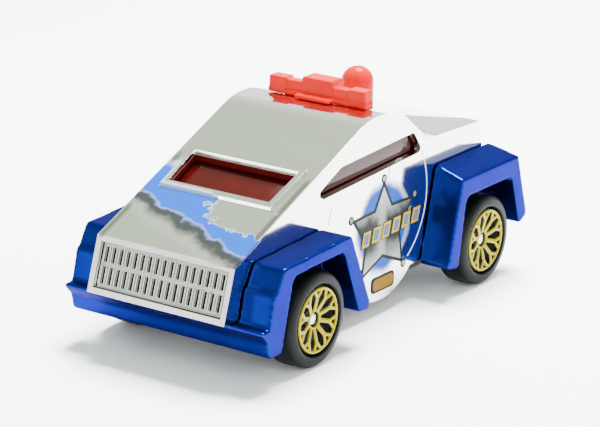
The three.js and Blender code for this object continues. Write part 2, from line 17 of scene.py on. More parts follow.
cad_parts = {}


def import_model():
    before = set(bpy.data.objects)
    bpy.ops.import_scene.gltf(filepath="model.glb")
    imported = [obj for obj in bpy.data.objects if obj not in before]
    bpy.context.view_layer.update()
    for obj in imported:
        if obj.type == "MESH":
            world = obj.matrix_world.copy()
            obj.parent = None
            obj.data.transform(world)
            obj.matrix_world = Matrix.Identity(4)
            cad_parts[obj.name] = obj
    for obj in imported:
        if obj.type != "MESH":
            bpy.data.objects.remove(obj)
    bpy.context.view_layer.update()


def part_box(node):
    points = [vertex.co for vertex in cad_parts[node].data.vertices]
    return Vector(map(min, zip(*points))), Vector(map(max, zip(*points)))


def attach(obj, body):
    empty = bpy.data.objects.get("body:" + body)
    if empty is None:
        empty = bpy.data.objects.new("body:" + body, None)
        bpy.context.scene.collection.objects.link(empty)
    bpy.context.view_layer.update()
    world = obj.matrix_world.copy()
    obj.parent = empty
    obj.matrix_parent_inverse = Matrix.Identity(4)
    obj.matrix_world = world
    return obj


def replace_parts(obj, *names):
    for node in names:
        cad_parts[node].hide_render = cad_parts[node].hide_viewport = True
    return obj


MM = 0.001
LOG = logging.getLogger("toy_truck")
Points = np.ndarray
Piece = bpy.types.Object
Number = "float | Sock"
Span = tuple[float, float]
Colour = tuple[float, float, float, float]
BODY = "truck_body"

# The nose's slanted face: its foot, the way up it and the way into it, each as (y, z).
NOSE_FOOT = (-32.83, 8.55)
NOSE_UP = (0.3018, 0.9534)
NOSE_IN = (0.9534, -0.3018)


class Side(Enum):
    """The truck's two sides, with the sign of their x."""

    LEFT = 1
    RIGHT = -1


class End(Enum):
    """The two ends that carry an axle."""

    FRONT = "front"
    REAR = "rear"


class Pattern(Enum):
    """What goes into a plated piece's colour: print with painted reflections, and painted shade in slots."""

    AIRBRUSHED = "airbrushed"
    WASHED_SLOTS = "washed_slots"


# ---- shader maths ---------------------------------------------------------
class Sock:
    """An output socket that can be used in Python arithmetic."""

    def __init__(self, tree: "Nodes", out: bpy.types.NodeSocket) -> None:
        """Wraps out, a socket of tree."""
        self.tree = tree
        self.out = out

    def _math(self, operation: str, *values: Number) -> "Sock":
        """Adds a Math node.

        Args:
            operation: the Math node's operation.
            values: its inputs, numbers or sockets.

        Returns:
            The node's value.
        """
        return self.tree.math(operation, *values)

    def __add__(self, other: Number) -> "Sock":
        """self + other."""
        return self._math("ADD", self, other)

    __radd__ = __add__

    def __sub__(self, other: Number) -> "Sock":
        """self - other."""
        return self._math("SUBTRACT", self, other)

    def __rsub__(self, other: Number) -> "Sock":
        """other - self."""
        return self._math("SUBTRACT", other, self)

    def __mul__(self, other: Number) -> "Sock":
        """self * other."""
        return self._math("MULTIPLY", self, other)

    __rmul__ = __mul__

    def __truediv__(self, other: Number) -> "Sock":
        """self / other."""
        return self._math("DIVIDE", self, other)

    def __abs__(self) -> "Sock":
        """The size of self."""
        return self._math("ABSOLUTE", self)

    def step(self, low: float, high: float) -> "Sock":
        """A smooth step of self.

        Args:
            low: where the result starts to change from 0.
            high: where it reaches 1. With high under low it falls from 1 to 0.

        Returns:
            The stepped value.
        """
        rising = high > low
        ends = (low, high, 0.0, 1.0) if rising else (high, low, 1.0, 0.0)
        names = ("From Min", "From Max", "To Min", "To Max")
        values = {"Value": self, **dict(zip(names, ends))}
        node = self.tree.node("ShaderNodeMapRange", {"interpolation_type": "SMOOTHSTEP"}, values)
        return Sock(self.tree, node.outputs["Result"])


class Nodes:
    """A node tree under construction, of a material or of the surround."""

    def __init__(self, tree: bpy.types.NodeTree) -> None:
        """Wraps a node tree."""
        self.nodes = tree.nodes
        self.links = tree.links

    def node(self, kind: str, settings: dict, values: dict) -> bpy.types.Node:
        """Adds any node.

        Args:
            kind: the node's type.
            settings: its properties, set first. A ramp's stops are pairs of a position and a colour.
            values: for each input name or number, a constant or a Sock.

        Returns:
            The node.
        """
        made = self.nodes.new(kind)
        for key, value in settings.items():
            if key == "stops":
                for element, stop in zip(made.color_ramp.elements, value):
                    element.position, element.color = stop
            else:
                setattr(made, key, value)
        for key, value in values.items():
            self.plug(made.inputs[key], value)
        return made

    def plug(self, socket: bpy.types.NodeSocket, value: object) -> None:
        """Links value into socket if it is a Sock, or sets it there."""
        if isinstance(value, Sock):
            self.links.new(value.out, socket)
        else:
            socket.default_value = value

    def math(self, operation: str, *values: Number) -> Sock:
        """A Math node's value, with its operation and inputs."""
        node = self.node("ShaderNodeMath", {"operation": operation}, dict(enumerate(values)))
        return Sock(self, node.outputs[0])


class Shader(Nodes):
    """A material under construction, with one Principled shader."""

    def __init__(self, name: str) -> None:
        """Makes an empty node material of that name."""
        self.material = bpy.data.materials.new(name)
        self.material.use_nodes = True
        super().__init__(self.material.node_tree)
        self.surface = self.nodes["Principled BSDF"]

    def place(self) -> tuple[Sock, Sock, Sock]:
        """Object coordinates in millimetres, as x, y and z."""
        coordinate = self.node("ShaderNodeTexCoord", {}, {})
        split = self.node("ShaderNodeSeparateXYZ", {}, {0: Sock(self, coordinate.outputs["Object"])})
        x, y, z = (Sock(self, out) / MM for out in split.outputs)
        return x, y, z

    def noise(self, per_mm: float, detail: float = 2.0) -> Sock:
        """Noise from 0 to 1 on Object coordinates.

        Args:
            per_mm: how many cells of noise there are in a millimetre.
            detail: the noise's octaves.

        Returns:
            The noise value.
        """
        place = Sock(self, self.node("ShaderNodeTexCoord", {}, {}).outputs["Object"])
        values = {"Vector": place, "Scale": per_mm / MM, "Detail": detail}
        return Sock(self, self.node("ShaderNodeTexNoise", {}, values).outputs[0])

    def blend(self, share: Number, low: object, high: object) -> Sock:
        """Mixes two colours.

        Args:
            share: how much of high shows, from 0 to 1.
            low: the colour at 0.
            high: the colour at 1.

        Returns:
            The mixed colour.
        """
        values = {"Factor": share, 6: low, 7: high}
        node = self.node("ShaderNodeMix", {"data_type": "RGBA"}, values)
        return Sock(self, node.outputs[2])

    def bump(self, height: Sock, depth_mm: float) -> None:
        """Feeds a bump of that height pattern and depth to the surface."""
        values = {"Height": height, "Distance": depth_mm * MM, "Strength": 1.0}
        node = self.node("ShaderNodeBump", {}, values)
        self.plug(self.surface.inputs["Normal"], Sock(self, node.outputs[0]))

    def set(self, **values: object) -> None:
        """Sets or links surface inputs, named with _ for a space."""
        for key, value in values.items():
            self.plug(self.surface.inputs[key.replace("_", " ")], value)


# ---- finishes -------------------------------------------------------------
def colour(red: float, green: float, blue: float) -> Colour:
    """A linear colour with full alpha."""
    return (red, green, blue, 1.0)


@dataclass(frozen=True)
class HoodPaintedReflections:
    """Where the painted reflections, their painted dark edges and the painted recess wall lie on the hood. A
    span says where a mask starts to change and where it ends.
    """

    foot_y: float = -30.57
    foot_z: float = 15.7
    slope: float = 0.4225
    skin: Span = (0.35, 0.15)
    rear: Span = (-13.0, -15.0)
    edge_y: float = -25.9
    edge_run: float = 3.0
    edge_shake: float = 4.0
    blue_start: Span = (-0.2, 0.9)
    # Where the painted dark edge along the painted reflection's lower edge starts and ends.
    painted_dark_edge_start: Span = (-3.4, -0.5)
    painted_dark_edge_end: Span = (1.1, 0.0)
    beside_screen: tuple[Span, Span] = ((-8.2, -9.0), (-15.0, -17.0))
    below_screen: Span = (-19.6, -20.6)
    bare_centre: Span = (7.0, -22.0)
    bare_reach: Span = (7.4, 3.1)
    bare_turn: float = 0.12
    bare_edge: Span = (1.05, 0.85)
    # Where the painted dark band of reflection near the hood's side edges starts and ends.
    edge_reflection_start: Span = (9.5, 10.15)
    edge_reflection_end: Span = (10.62, 10.42)
    # The windscreen recess's wall, which gets a painted dark red reflection.
    wall_depth: tuple[Span, Span] = ((0.16, 0.3), (2.6, 2.4))
    wall_half_width: Span = (8.6, 8.4)
    wall_ends: tuple[Span, Span] = ((-21.5, -21.0), (-8.0, -9.0))

    def depth(self, y: Sock, z: Sock) -> Sock:
        """How far a point at y and z lies under the hood's sloping plane."""
        return self.foot_z + (y - self.foot_y) * self.slope - z

    def bare(self, shader: Shader, x: Sock, y: Sock, ragged: Sock) -> Sock:
        """The bare patch, free of the painted blue reflection: a slightly turned ellipse that noise frays
        into islets.

        Args:
            shader: the material under construction.
            x: place across the truck.
            y: place along it.
            ragged: slow noise about 0.

        Returns:
            How bare the plating is.
        """
        across = x - self.bare_centre[0]
        along = y - self.bare_centre[1] + across * self.bare_turn
        across, along = across / self.bare_reach[0], along / self.bare_reach[1]
        islets = shader.noise(0.75) - 0.5
        frayed = across * across + along * along + ragged * 2.2 + islets * 1.7
        return frayed.step(*self.bare_edge)

    def blue(self, shader: Shader, x: Sock, y: Sock, ragged: Sock, edge: Sock) -> Sock:
        """Painted blue reflection behind the ragged edge, below the windscreen and along its right side.

        Args:
            shader: the material under construction.
            x: place across the truck.
            y: place along it.
            ragged: slow noise about 0.
            edge: how far behind the ragged edge the point lies.

        Returns:
            How much painted reflection there is.
        """
        beside = x.step(*self.beside_screen[0]) * y.step(*self.beside_screen[1])
        reach = shader.math("MAXIMUM", beside, y.step(*self.below_screen))
        return edge.step(*self.blue_start) * reach * (1.0 - self.bare(shader, x, y, ragged))

    def recess_wall(self, x: Sock, y: Sock, depth: Sock) -> Sock:
        """How much of the windscreen recess's wall a point at x, y and that depth belongs to; the wall gets a
        painted dark red reflection.
        """
        wall = depth.step(*self.wall_depth[0]) * depth.step(*self.wall_depth[1])
        wall = wall * abs(x).step(*self.wall_half_width)
        return wall * y.step(*self.wall_ends[0]) * y.step(*self.wall_ends[1])


@dataclass(frozen=True)
class PlatedPlastic:
    """Vacuum-plated plastic: a mirror with a faint ripple, with print, painted reflections and painted shade
    on it.
    """

    name: str
    pattern: Pattern
    tint: Colour = colour(0.80, 0.82, 0.76)
    roughness: float = 0.06
    paint_roughness: float = 0.22
    soiling: float = 0.05
    # Blue of the printed mist on the sides and of the painted reflection on the hood.
    mist_and_reflection_blue: Colour = colour(0.001, 0.05, 0.30)
    # Colour of the painted dark edge along the hood's painted reflection; its cover and its share of the
    # paint are set below.
    painted_dark_edge: Colour = colour(0.02, 0.026, 0.026)
    painted_dark_edge_cover: float = 0.97
    # Cover of the painted dark band of reflection near the hood's side edges.
    edge_reflection_cover: float = 0.6
    painted_dark_edge_paint: float = 0.35
    # Colour of the painted shade in the grille's slots, and the depths over which it sets in.
    wash: Colour = colour(0.012, 0.014, 0.012)
    slot_shade_depth: Span = (0.5, 0.85)
    slot_inwards: Span = (0.9537, -0.3010)
    # Colour of the painted dark red reflection of the red glazing on the recess wall.
    recess: Colour = colour(0.06, 0.0015, 0.0015)
    shine: float = 0.04
    side_skin: Span = (10.7, 10.75)
    mist_centre: Span = (2.9, 12.3)
    mist_fade: Span = (7.0, 5.3)
    mist_shake: float = 1.6
    hood: HoodPaintedReflections = HoodPaintedReflections()

    def build(self) -> bpy.types.Material:
        """Makes the material."""
        shader = Shader(self.name)
        painted_on = {Pattern.AIRBRUSHED: self._airbrush, Pattern.WASHED_SLOTS: self._paint_slot_shade}
        base, paint = painted_on[self.pattern](shader)
        roughness = self.roughness + shader.noise(0.4) * self.soiling + paint * self.paint_roughness
        shader.set(Base_Color=base, Metallic=1.0 - paint, Roughness=roughness)
        shader.set(Specular_IOR_Level=self.shine)
        shader.bump(shader.noise(0.12, 1.0), 0.012)
        return shader.material

    def _airbrush(self, shader: Shader) -> tuple[Sock, Sock]:
        """Printed blue mist round each star; on the hood a painted blue reflection with a painted dark lower
        edge and a painted dark band near the side edges; a painted dark red reflection on the recess wall.

        The painted reflection's lower edge is the line y = edge_y - x / edge_run, shaken by noise.

        Args:
            shader: the material under construction.

        Returns:
            The base colour, and how much ink and painted reflection cover the plating.
        """
        hood = self.hood
        x, y, z = shader.place()
        ragged = shader.noise(0.3, 4.0) - 0.5
        depth = hood.depth(y, z)
        on_hood = depth.step(*hood.skin) * y.step(*hood.rear)
        edge = y - hood.edge_y + x / hood.edge_run + ragged * hood.edge_shake
        mist = self._mist(shader, y, z) * abs(x).step(*self.side_skin)
        # Painted blue reflection on the hood, together with the printed mist on the sides.
        blue = shader.math("MAXIMUM", hood.blue(shader, x, y, ragged, edge) * on_hood, mist)
        # Painted dark edge along the lower edge of the painted reflection.
        painted_dark_edge = edge.step(*hood.painted_dark_edge_start) * edge.step(*hood.painted_dark_edge_end) * on_hood
        # Painted dark band of reflection near the hood's side edges.
        rim = abs(x).step(*hood.edge_reflection_start) * abs(x).step(*hood.edge_reflection_end) * on_hood
        dark = shader.math("MAXIMUM", painted_dark_edge * self.painted_dark_edge_cover, rim * self.edge_reflection_cover)
        base = shader.blend(blue, shader.blend(dark, self.tint, self.painted_dark_edge), self.mist_and_reflection_blue)
        # Painted dark red reflection of the red glazing on the recess wall, which also hides the plating's
        # metal.
        wall = hood.recess_wall(x, y, depth)
        paint = shader.math("MAXIMUM", blue, painted_dark_edge * self.painted_dark_edge_paint)
        return shader.blend(wall, base, self.recess), shader.math("MAXIMUM", paint, wall)

    def _mist(self, shader: Shader, y: Sock, z: Sock) -> Sock:
        """Mist on the flat sides, which fades out round the star's centre.

        Args:
            shader: the material under construction.
            y: place along the truck.
            z: height.

        Returns:
            How much mist there is.
        """
        away_y, away_z = y - self.mist_centre[0], z - self.mist_centre[1]
        away = shader.math("SQRT", away_y * away_y + away_z * away_z)
        return (away + (shader.noise(0.35, 3.0) - 0.5) * self.mist_shake).step(*self.mist_fade)

    def _paint_slot_shade(self, shader: Shader) -> tuple[Sock, Sock]:
        """Painted shade on everything that lies deeper than the grille's face.

        Depth is measured from the nose's foot along slot_inwards, a direction given as (y, z).

        Args:
            shader: the material under construction.

        Returns:
            The base colour, and how much painted shade covers the plating.
        """
        _, y, z = shader.place()
        depth = (y - NOSE_FOOT[0]) * self.slot_inwards[0] + (z - NOSE_FOOT[1]) * self.slot_inwards[1]
        # Painted shade: darker the deeper a point lies behind the grille's face.
        dark = depth.step(*self.slot_shade_depth)
        return shader.blend(dark, self.tint, self.wash), dark


@dataclass(frozen=True)
class Enamel:
    """Metallic enamel under a clear coat: fine flakes and slow changes of depth."""

    name: str = "blue_metallic_enamel"
    deep: Colour = colour(0.0010, 0.004, 0.07)
    light: Colour = colour(0.0035, 0.015, 0.19)
    sheen: Colour = colour(0.17, 0.20, 0.50)

    def build(self) -> bpy.types.Material:
        """Makes the material."""
        shader = Shader(self.name)
        flakes = shader.noise(9.0, 1.0)
        clouds = shader.noise(0.25, 3.0)
        shader.set(Base_Color=shader.blend(clouds * 0.6 + flakes * 0.4, self.deep, self.light))
        shader.set(Metallic=0.95, Roughness=0.18 + flakes * 0.12, Coat_Weight=0.07, Coat_Roughness=0.03)
        shader.set(Specular_Tint=self.sheen)
        shader.bump(flakes * 0.15 + clouds, 0.03)
        return shader.material


@dataclass(frozen=True)
class ClearRed:
    """Clear red plastic, with an optional painted glow."""

    name: str
    tint: Colour
    # Strength of a painted glow; the plastic is no lamp.
    painted_glow: float = 0.0
    transmission: float = 0.7
    shine: float = 0.5

    def build(self) -> bpy.types.Material:
        """Makes the material."""
        shader = Shader(self.name)
        streaks = shader.noise(0.35, 3.0)
        darker = tuple(0.6 * part for part in self.tint[:3]) + (1.0,)
        tinted = shader.blend(streaks, darker, self.tint)
        shader.set(Base_Color=tinted, Roughness=0.06 + streaks * 0.05)
        shader.set(IOR=1.49, Specular_IOR_Level=self.shine, Transmission_Weight=self.transmission)
        # Emission here is a painted glow: the red plastic is no lamp.
        shader.set(Emission_Color=tinted, Emission_Strength=self.painted_glow)
        shader.bump(streaks, 0.01)
        return shader.material


@dataclass(frozen=True)
class Moulded:
    """Moulded plastic or ink: one colour with mottling, fine texture and its own gloss."""

    name: str
    tint: Colour
    roughness: float = 0.5
    metallic: float = 0.0
    mottling: float = 0.35
    grain_per_mm: float = 4.0
    grain_depth: float = 0.015
    shine: float = 0.5

    def build(self) -> bpy.types.Material:
        """Makes the material."""
        shader = Shader(self.name)
        grain = shader.noise(self.grain_per_mm, 3.0)
        patches = shader.noise(0.3, 2.0)
        darker = tuple((1 - self.mottling) * part for part in self.tint[:3]) + (1.0,)
        shader.set(Base_Color=shader.blend(patches * 0.7 + grain * 0.3, darker, self.tint))
        shader.set(Metallic=self.metallic, Roughness=self.roughness + (grain - 0.5) * 0.15)
        shader.set(Specular_IOR_Level=self.shine)
        shader.bump(grain, self.grain_depth)
        return shader.material


@dataclass(frozen=True)
class StarInk:
    """Silver ink with a dark smudge across the star and a light ridge down its middle."""

    name: str = "silver_star_ink"
    silver: Colour = colour(0.27, 0.29, 0.27)
    smudge: Colour = colour(0.006, 0.008, 0.008)
    smudge_z: float = 11.9
    smudge_reach: Span = (5.0, 1.0)
    ridge_y: float = 2.6
    ridge_reach: Span = (1.5, 0.3)

    def build(self) -> bpy.types.Material:
        """Makes the material."""
        shader = Shader(self.name)
        _, y, z = shader.place()
        ragged = (shader.noise(0.5, 3.0) - 0.5) * 2.6
        band = abs(z - self.smudge_z + ragged).step(*self.smudge_reach)
        ridge = abs(y - self.ridge_y).step(*self.ridge_reach)
        dark = band * (1.0 - ridge * 0.6)
        shader.set(Base_Color=shader.blend(dark, self.silver, self.smudge), Metallic=0.15)
        shader.set(Roughness=0.3 + dark * 0.15, Specular_IOR_Level=0.08)
        return shader.material


@dataclass(frozen=True)
class Finishes:
    """Every finish of the toy, made once."""

    shell: bpy.types.Material
    grille: bpy.types.Material
    enamel: bpy.types.Material
    glass: bpy.types.Material
    lamp: bpy.types.Material
    interior: bpy.types.Material
    base: bpy.types.Material
    wheel: bpy.types.Material
    lace: bpy.types.Material
    steel: bpy.types.Material
    silver_ink: bpy.types.Material
    dark_ink: bpy.types.Material
    gold_ink: bpy.types.Material
    blue_ink: bpy.types.Material
    amber_ink: bpy.types.Material
    # Pale band that paints the highlight on the door's round edge.
    pale_line: bpy.types.Material

    @classmethod
    def make(cls) -> "Finishes":
        """Builds all the materials."""
        window_red = colour(0.042, 0.002, 0.002)
        return cls(
            # The shell carries print, painted reflections and a painted reflection on the recess wall.
            shell=PlatedPlastic("plated_shell_airbrushed", Pattern.AIRBRUSHED).build(),
            # The grille carries painted shade in its slots.
            grille=PlatedPlastic("plated_grille_washed", Pattern.WASHED_SLOTS).build(),
            enamel=Enamel().build(),
            glass=ClearRed("clear_red_window", window_red, transmission=0.12, shine=0.18).build(),
            # The lamp's 0.38 is the strength of a painted glow.
            lamp=ClearRed("clear_red_lamp", colour(0.55, 0.0, 0.0), 0.38, 0.04, 0.05).build(),
            interior=Moulded("interior_plastic", colour(0.30, 0.28, 0.26), 0.6).build(),
            base=Moulded("black_base_plastic", colour(0.022, 0.022, 0.025), 0.55, grain_depth=0.04).build(),
            wheel=Moulded("black_wheel_plastic", colour(0.0045, 0.005, 0.005), 0.4, shine=0.06).build(),
            lace=Moulded("gold_lace_plating", colour(0.26, 0.215, 0.006), 0.28, 0.5, 0.15, shine=0.1).build(),
            steel=Moulded("bright_wire_steel", colour(0.60, 0.59, 0.56), 0.3, 1.0, 0.15).build(),
            silver_ink=StarInk().build(),
            dark_ink=Moulded("dark_outline_ink", colour(0.008, 0.011, 0.012), 0.4, shine=0.05).build(),
            gold_ink=Moulded("gold_edge_ink", colour(0.44, 0.29, 0.004), 0.35, 0.1, shine=0.05).build(),
            blue_ink=Moulded("pale_blue_ink", colour(0.07, 0.11, 0.24), 0.4, shine=0.05).build(),
            amber_ink=Moulded("amber_marker_ink", colour(0.20, 0.095, 0.0005), 0.4, shine=0.05).build(),
            # A painted highlight for the raised door panel's round edge.
            pale_line=Moulded("pale_door_line", colour(0.75, 0.80, 0.86), 0.3).build(),
        )


# ---- mesh making ----------------------------------------------------------
def grid_faces(rows: int, columns: int, wrap: bool) -> Points:
    """Quads between the points of a grid.

    Point (i, j) has number i * columns + j, and each quad joins the points (i, j), (i + 1, j),
    (i + 1, j + 1) and (i, j + 1).

    Args:
        rows: number of rows.
        columns: number of columns, which wrap round.
        wrap: whether the last row joins the first one.

    Returns:
        An array of quads.
    """
    i, j = np.meshgrid(np.arange(rows if wrap else rows - 1), np.arange(columns), indexing="ij")
    below = (i + 1) % rows
    beside = (j + 1) % columns
    corners = [i * columns + j, below * columns + j, below * columns + beside, i * columns + beside]
    return np.stack(corners, -1).reshape(-1, 4)


class Builder:
    """Gathers closed surfaces in millimetres into one mesh object."""

    def __init__(self, name: str) -> None:
        """Starts an empty piece of that name."""
        self.name = name
        self.points: list[Points] = []
        self.faces: list[list[int]] = []
        self.inks: list[int] = []
        self.count = 0

    def add(self, points: Points, faces: Sequence[Sequence[int]], ink: int = 0) -> None:
        """Adds one closed surface, with the number of its material."""
        self.faces.extend([int(v) + self.count for v in face] for face in faces)
        self.inks.extend([ink] * len(faces))
        self.points.append(points)
        self.count += len(points)

    def tube(self, rings: Points, ink: int = 0, loop: bool = False) -> None:
        """Adds a skin over rings of points, capped at its ends unless it is a loop.

        Args:
            rings: an array of rings, points in a ring, and x, y, z.
            ink: the number of its material.
            loop: whether the last ring joins the first.
        """
        rows, columns = rings.shape[:2]
        faces = grid_faces(rows, columns, loop).tolist()
        if not loop:
            faces += [list(range(columns)), list(range(rows * columns - 1, (rows - 1) * columns - 1, -1))]
        self.add(rings.reshape(-1, 3), faces, ink)

    def slab(self, outline: Points, x0: float, x1: float, ink: int = 0) -> None:
        """Adds an outline of (y, z) points, carried along x from x0 to x1."""
        rings = [np.column_stack([np.full(len(outline), x), outline]) for x in (x0, x1)]
        self.tube(np.array(rings), ink)

    def finish(self, materials: Sequence[bpy.types.Material], sharp: float = 35.0) -> Piece:
        """Makes the object.

        Args:
            materials: its material slots.
            sharp: the angle in degrees past which an edge stays sharp.

        Returns:
            The new object, with all faces turned outwards.
        """
        mesh = bpy.data.meshes.new(self.name)
        mesh.from_pydata((np.concatenate(self.points) * MM).tolist(), [], self.faces)
        mesh.polygons.foreach_set("material_index", self.inks)
        for material in materials:
            mesh.materials.append(material)
        turn_outwards(mesh)
        mesh.shade_smooth()
        mesh.set_sharp_from_angle(angle=np.radians(sharp))
        made = bpy.data.objects.new(self.name, mesh)
        bpy.context.scene.collection.objects.link(made)
        return made


def turn_outwards(mesh: bpy.types.Mesh) -> None:
    """Recalculates the normals of closed surfaces."""
    work = bmesh.new()
    work.from_mesh(mesh)
    bmesh.ops.recalc_face_normals(work, faces=work.faces[:])
    work.to_mesh(mesh)
    work.free()


def turned(profile: Points, y: float, z: float, segments: int) -> Points:
    """A profile of (radius, x) points turned about an axis along X.

    Point (i, j) is (x_i, y + r_i cos a_j, z + r_i sin a_j).

    Args:
        profile: the section.
        y: the axis's y.
        z: the axis's z.
        segments: number of steps round.

    Returns:
        Rings of points, one for each profile point.
    """
    angles = np.arange(segments) * 2 * np.pi / segments
    radius = profile[:, :1]
    x = np.repeat(profile[:, 1:], segments, axis=1)
    return np.stack([x, y + radius * np.cos(angles), z + radius * np.sin(angles)], -1)


def softened(corners: Points, radius: float, steps: int = 5) -> Points:
    """Rounds the corners of a closed outline with short curves.

    Each corner c gives the quadratic curve from c + u to c + v, bent towards c, where u and v point to
    its neighbours and are as long as the radius, or 0.45 of that edge where that is shorter.

    Args:
        corners: the outline's corners.
        radius: reach of the rounding from each corner.
        steps: points on each curve.

    Returns:
        The rounded outline.
    """
    reaches = []
    for shift in (1, -1):
        edge = np.roll(corners, shift, axis=0) - corners
        length = np.linalg.norm(edge, axis=1, keepdims=True)
        reaches.append(edge / length * np.minimum(radius, 0.45 * length))
    t = np.linspace(0, 1, steps)[None, :, None]
    start = (corners + reaches[0])[:, None]
    end = (corners + reaches[1])[:, None]
    curve = (1 - t) ** 2 * start + 2 * t * (1 - t) * corners[:, None] + t**2 * end
    return curve.reshape(-1, corners.shape[1])


def merged_copy(node: str, name: str, material: bpy.types.Material) -> Piece:
    """A copy of a CAD node whose loose triangles are merged into flat faces.

    Args:
        node: the CAD node.
        name: the copy's name.
        material: its finish.

    Returns:
        The copy.
    """
    mesh = bpy.data.objects[node].data.copy()
    mesh.name = name
    work = bmesh.new()
    work.from_mesh(mesh)
    bmesh.ops.remove_doubles(work, verts=work.verts[:], dist=0.004 * MM)
    flat = np.radians(1.5)
    bmesh.ops.dissolve_limit(work, angle_limit=flat, verts=work.verts[:], edges=work.edges[:])
    work.to_mesh(mesh)
    work.free()
    mesh.materials.clear()
    mesh.materials.append(material)
    made = bpy.data.objects.new(name, mesh)
    bpy.context.scene.collection.objects.link(made)
    return made


def refined(
    node: str,
    name: str,
    width: float,
    material: bpy.types.Material,
    segments: int = 3,
    shape: Callable[[Piece], None] | None = None,
) -> Piece:
    """A copy of a CAD node with rounded edges, which replaces it.

    Args:
        node: the CAD node.
        name: the new piece's name.
        width: width of its edge rounding in millimetres.
        material: its finish.
        segments: steps across a rounded edge.
        shape: what else is done to the copy before its edges are rounded. It then keeps flat faces.

    Returns:
        The new piece.
    """
    made = merged_copy(node, name, material)
    if shape:
        shape(made)
    else:
        made.data.shade_smooth()
    bevel = made.modifiers.new("rounded_edges", "BEVEL")
    bevel.width = width * MM
    bevel.segments = segments
    bevel.limit_method = "ANGLE"
    bevel.angle_limit = np.radians(32)
    bevel.use_clamp_overlap = True
    bevel.harden_normals = True
    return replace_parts(made, node)


def melted(node: str, name: str, material: bpy.types.Material, voxel: float, passes: int) -> Piece:
    """A copy of a CAD node with an even skin whose edges are melted round, as a casting's are.

    Args:
        node: the CAD node.
        name: the new piece's name.
        material: its finish.
        voxel: size of the skin's cells in millimetres.
        passes: how many times each point moves halfway to its neighbours' mean.

    Returns:
        The new piece, which replaces the node.
    """
    piece = merged_copy(node, name, material)
    skin = piece.modifiers.new("even_skin", "REMESH")
    skin.mode = "VOXEL"
    skin.voxel_size = voxel * MM
    skin.use_smooth_shade = True
    melt = piece.modifiers.new("melted_edges", "SMOOTH")
    melt.factor = 0.5
    melt.iterations = passes
    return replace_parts(piece, node)


def axis_of(node: str) -> Span:
    """The axis along X of a turned CAD node, as y and z in millimetres: the middle of its box."""
    low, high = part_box(node)
    return (low.y + high.y) / 2 / MM, (low.z + high.z) / 2 / MM


def settle(piece: Piece, body: str) -> None:
    """Rides a finished piece on a body's empty, and logs it."""
    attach(piece, body)
    LOG.info("%s: %d faces on %s", piece.name, len(piece.data.polygons), body)


# ---- sub-assemblies -------------------------------------------------------
@dataclass
class Shell:
    """The plated upper shell and its grille panel."""

    edge: float = 0.22
    side_x: float = 10.8
    slot_count: int = 17
    slot_pitch: float = 1.14
    rib_shift: float = 0.36
    rib_width: float = 0.13
    rib_depth: Span = (0.42, 0.78)
    rib_rows: tuple = ((1.42, 3.62), (4.22, 6.22))
    crease: tuple = ((13.5, 22.2), (27.1, 21.7))
    roof_edge: tuple = ((10.8, 6.5, 27.4), (8.5, 27.1, 21.7))
    facet_steps: int = 13

    def build(self, finishes: Finishes) -> None:
        """Makes both pieces."""
        shell = refined("upper_shell", "plated_shell", self.edge, finishes.shell, shape=self._cut_facets)
        settle(shell, BODY)
        grille = refined("grille_panel", "slotted_grille", 0.07, finishes.grille, 2)
        settle(grille, BODY)
        settle(self._ribs(finishes), BODY)

    def _ribs(self, finishes: Finishes) -> Piece:
        """Fine upright ribs on both sides of every slot.

        A point of the slanted nose plane is its foot plus the way up the plane plus the depth into it.

        Args:
            finishes: the toy's finishes.

        Returns:
            The ribs, as one piece.
        """
        foot, up, into = (np.array(part) for part in (NOSE_FOOT, NOSE_UP, NOSE_IN))
        near, far = self.rib_depth
        half = self.rib_width / 2
        builder = Builder("grille_ribs")
        for low, high in self.rib_rows:
            corners = [(low, near), (low, far), (high, far), (high, near)]
            outline = np.array([foot + up * height + into * depth for height, depth in corners])
            for k in range(self.slot_count):
                x = (k - (self.slot_count - 1) / 2) * self.slot_pitch
                for shift in (-self.rib_shift, self.rib_shift):
                    builder.slab(outline, x + shift - half, x + shift + half)
        return builder.finish([finishes.grille], 20)

    def _cut_facets(self, shell: Piece) -> None:
        """Cuts a leaning facet above the crease at the rear of each side.

        The facet is ruled: it joins the crease point at share t to the roof edge point at share t. The
        cutter reaches 0.05 of the rule below the crease, 0.3 of it past the roof edge, and on outwards.

        Args:
            shell: the piece that is cut.
        """
        t = np.linspace(0, 1, self.facet_steps)[:, None]
        low, high = (np.array([self.side_x, *end]) for end in self.crease)
        crease = low + t * (high - low)
        first, last = (np.array(end) for end in self.roof_edge)
        roof = first + t * (last - first)
        rule = roof - crease
        outer = roof + np.array([4.0, 0.0, 4.0])
        rings = np.stack([crease - 0.05 * rule, roof + 0.3 * rule, outer], axis=1)
        for side in Side:
            cutter = Builder("facet_cutter")
            cutter.tube(rings * np.array([side.value, 1, 1]))
            tool = cutter.finish([])
            cut = shell.modifiers.new("facet", "BOOLEAN")
            cut.object = tool
            cut.operation = "DIFFERENCE"
            cut.solver = "EXACT"
            graph = bpy.context.evaluated_depsgraph_get()
            result = bpy.data.meshes.new_from_object(shell.evaluated_get(graph))
            shell.modifiers.remove(cut)
            shell.data = result
            bpy.data.objects.remove(tool)


@dataclass
class Casting:
    """The blue casting with its bumper and fenders."""

    voxel: float = 0.24
    melting: int = 5

    def build(self, finishes: Finishes) -> None:
        """Makes the casting."""
        casting = melted("fender_casting", "blue_casting", finishes.enamel, self.voxel, self.melting)
        settle(casting, BODY)


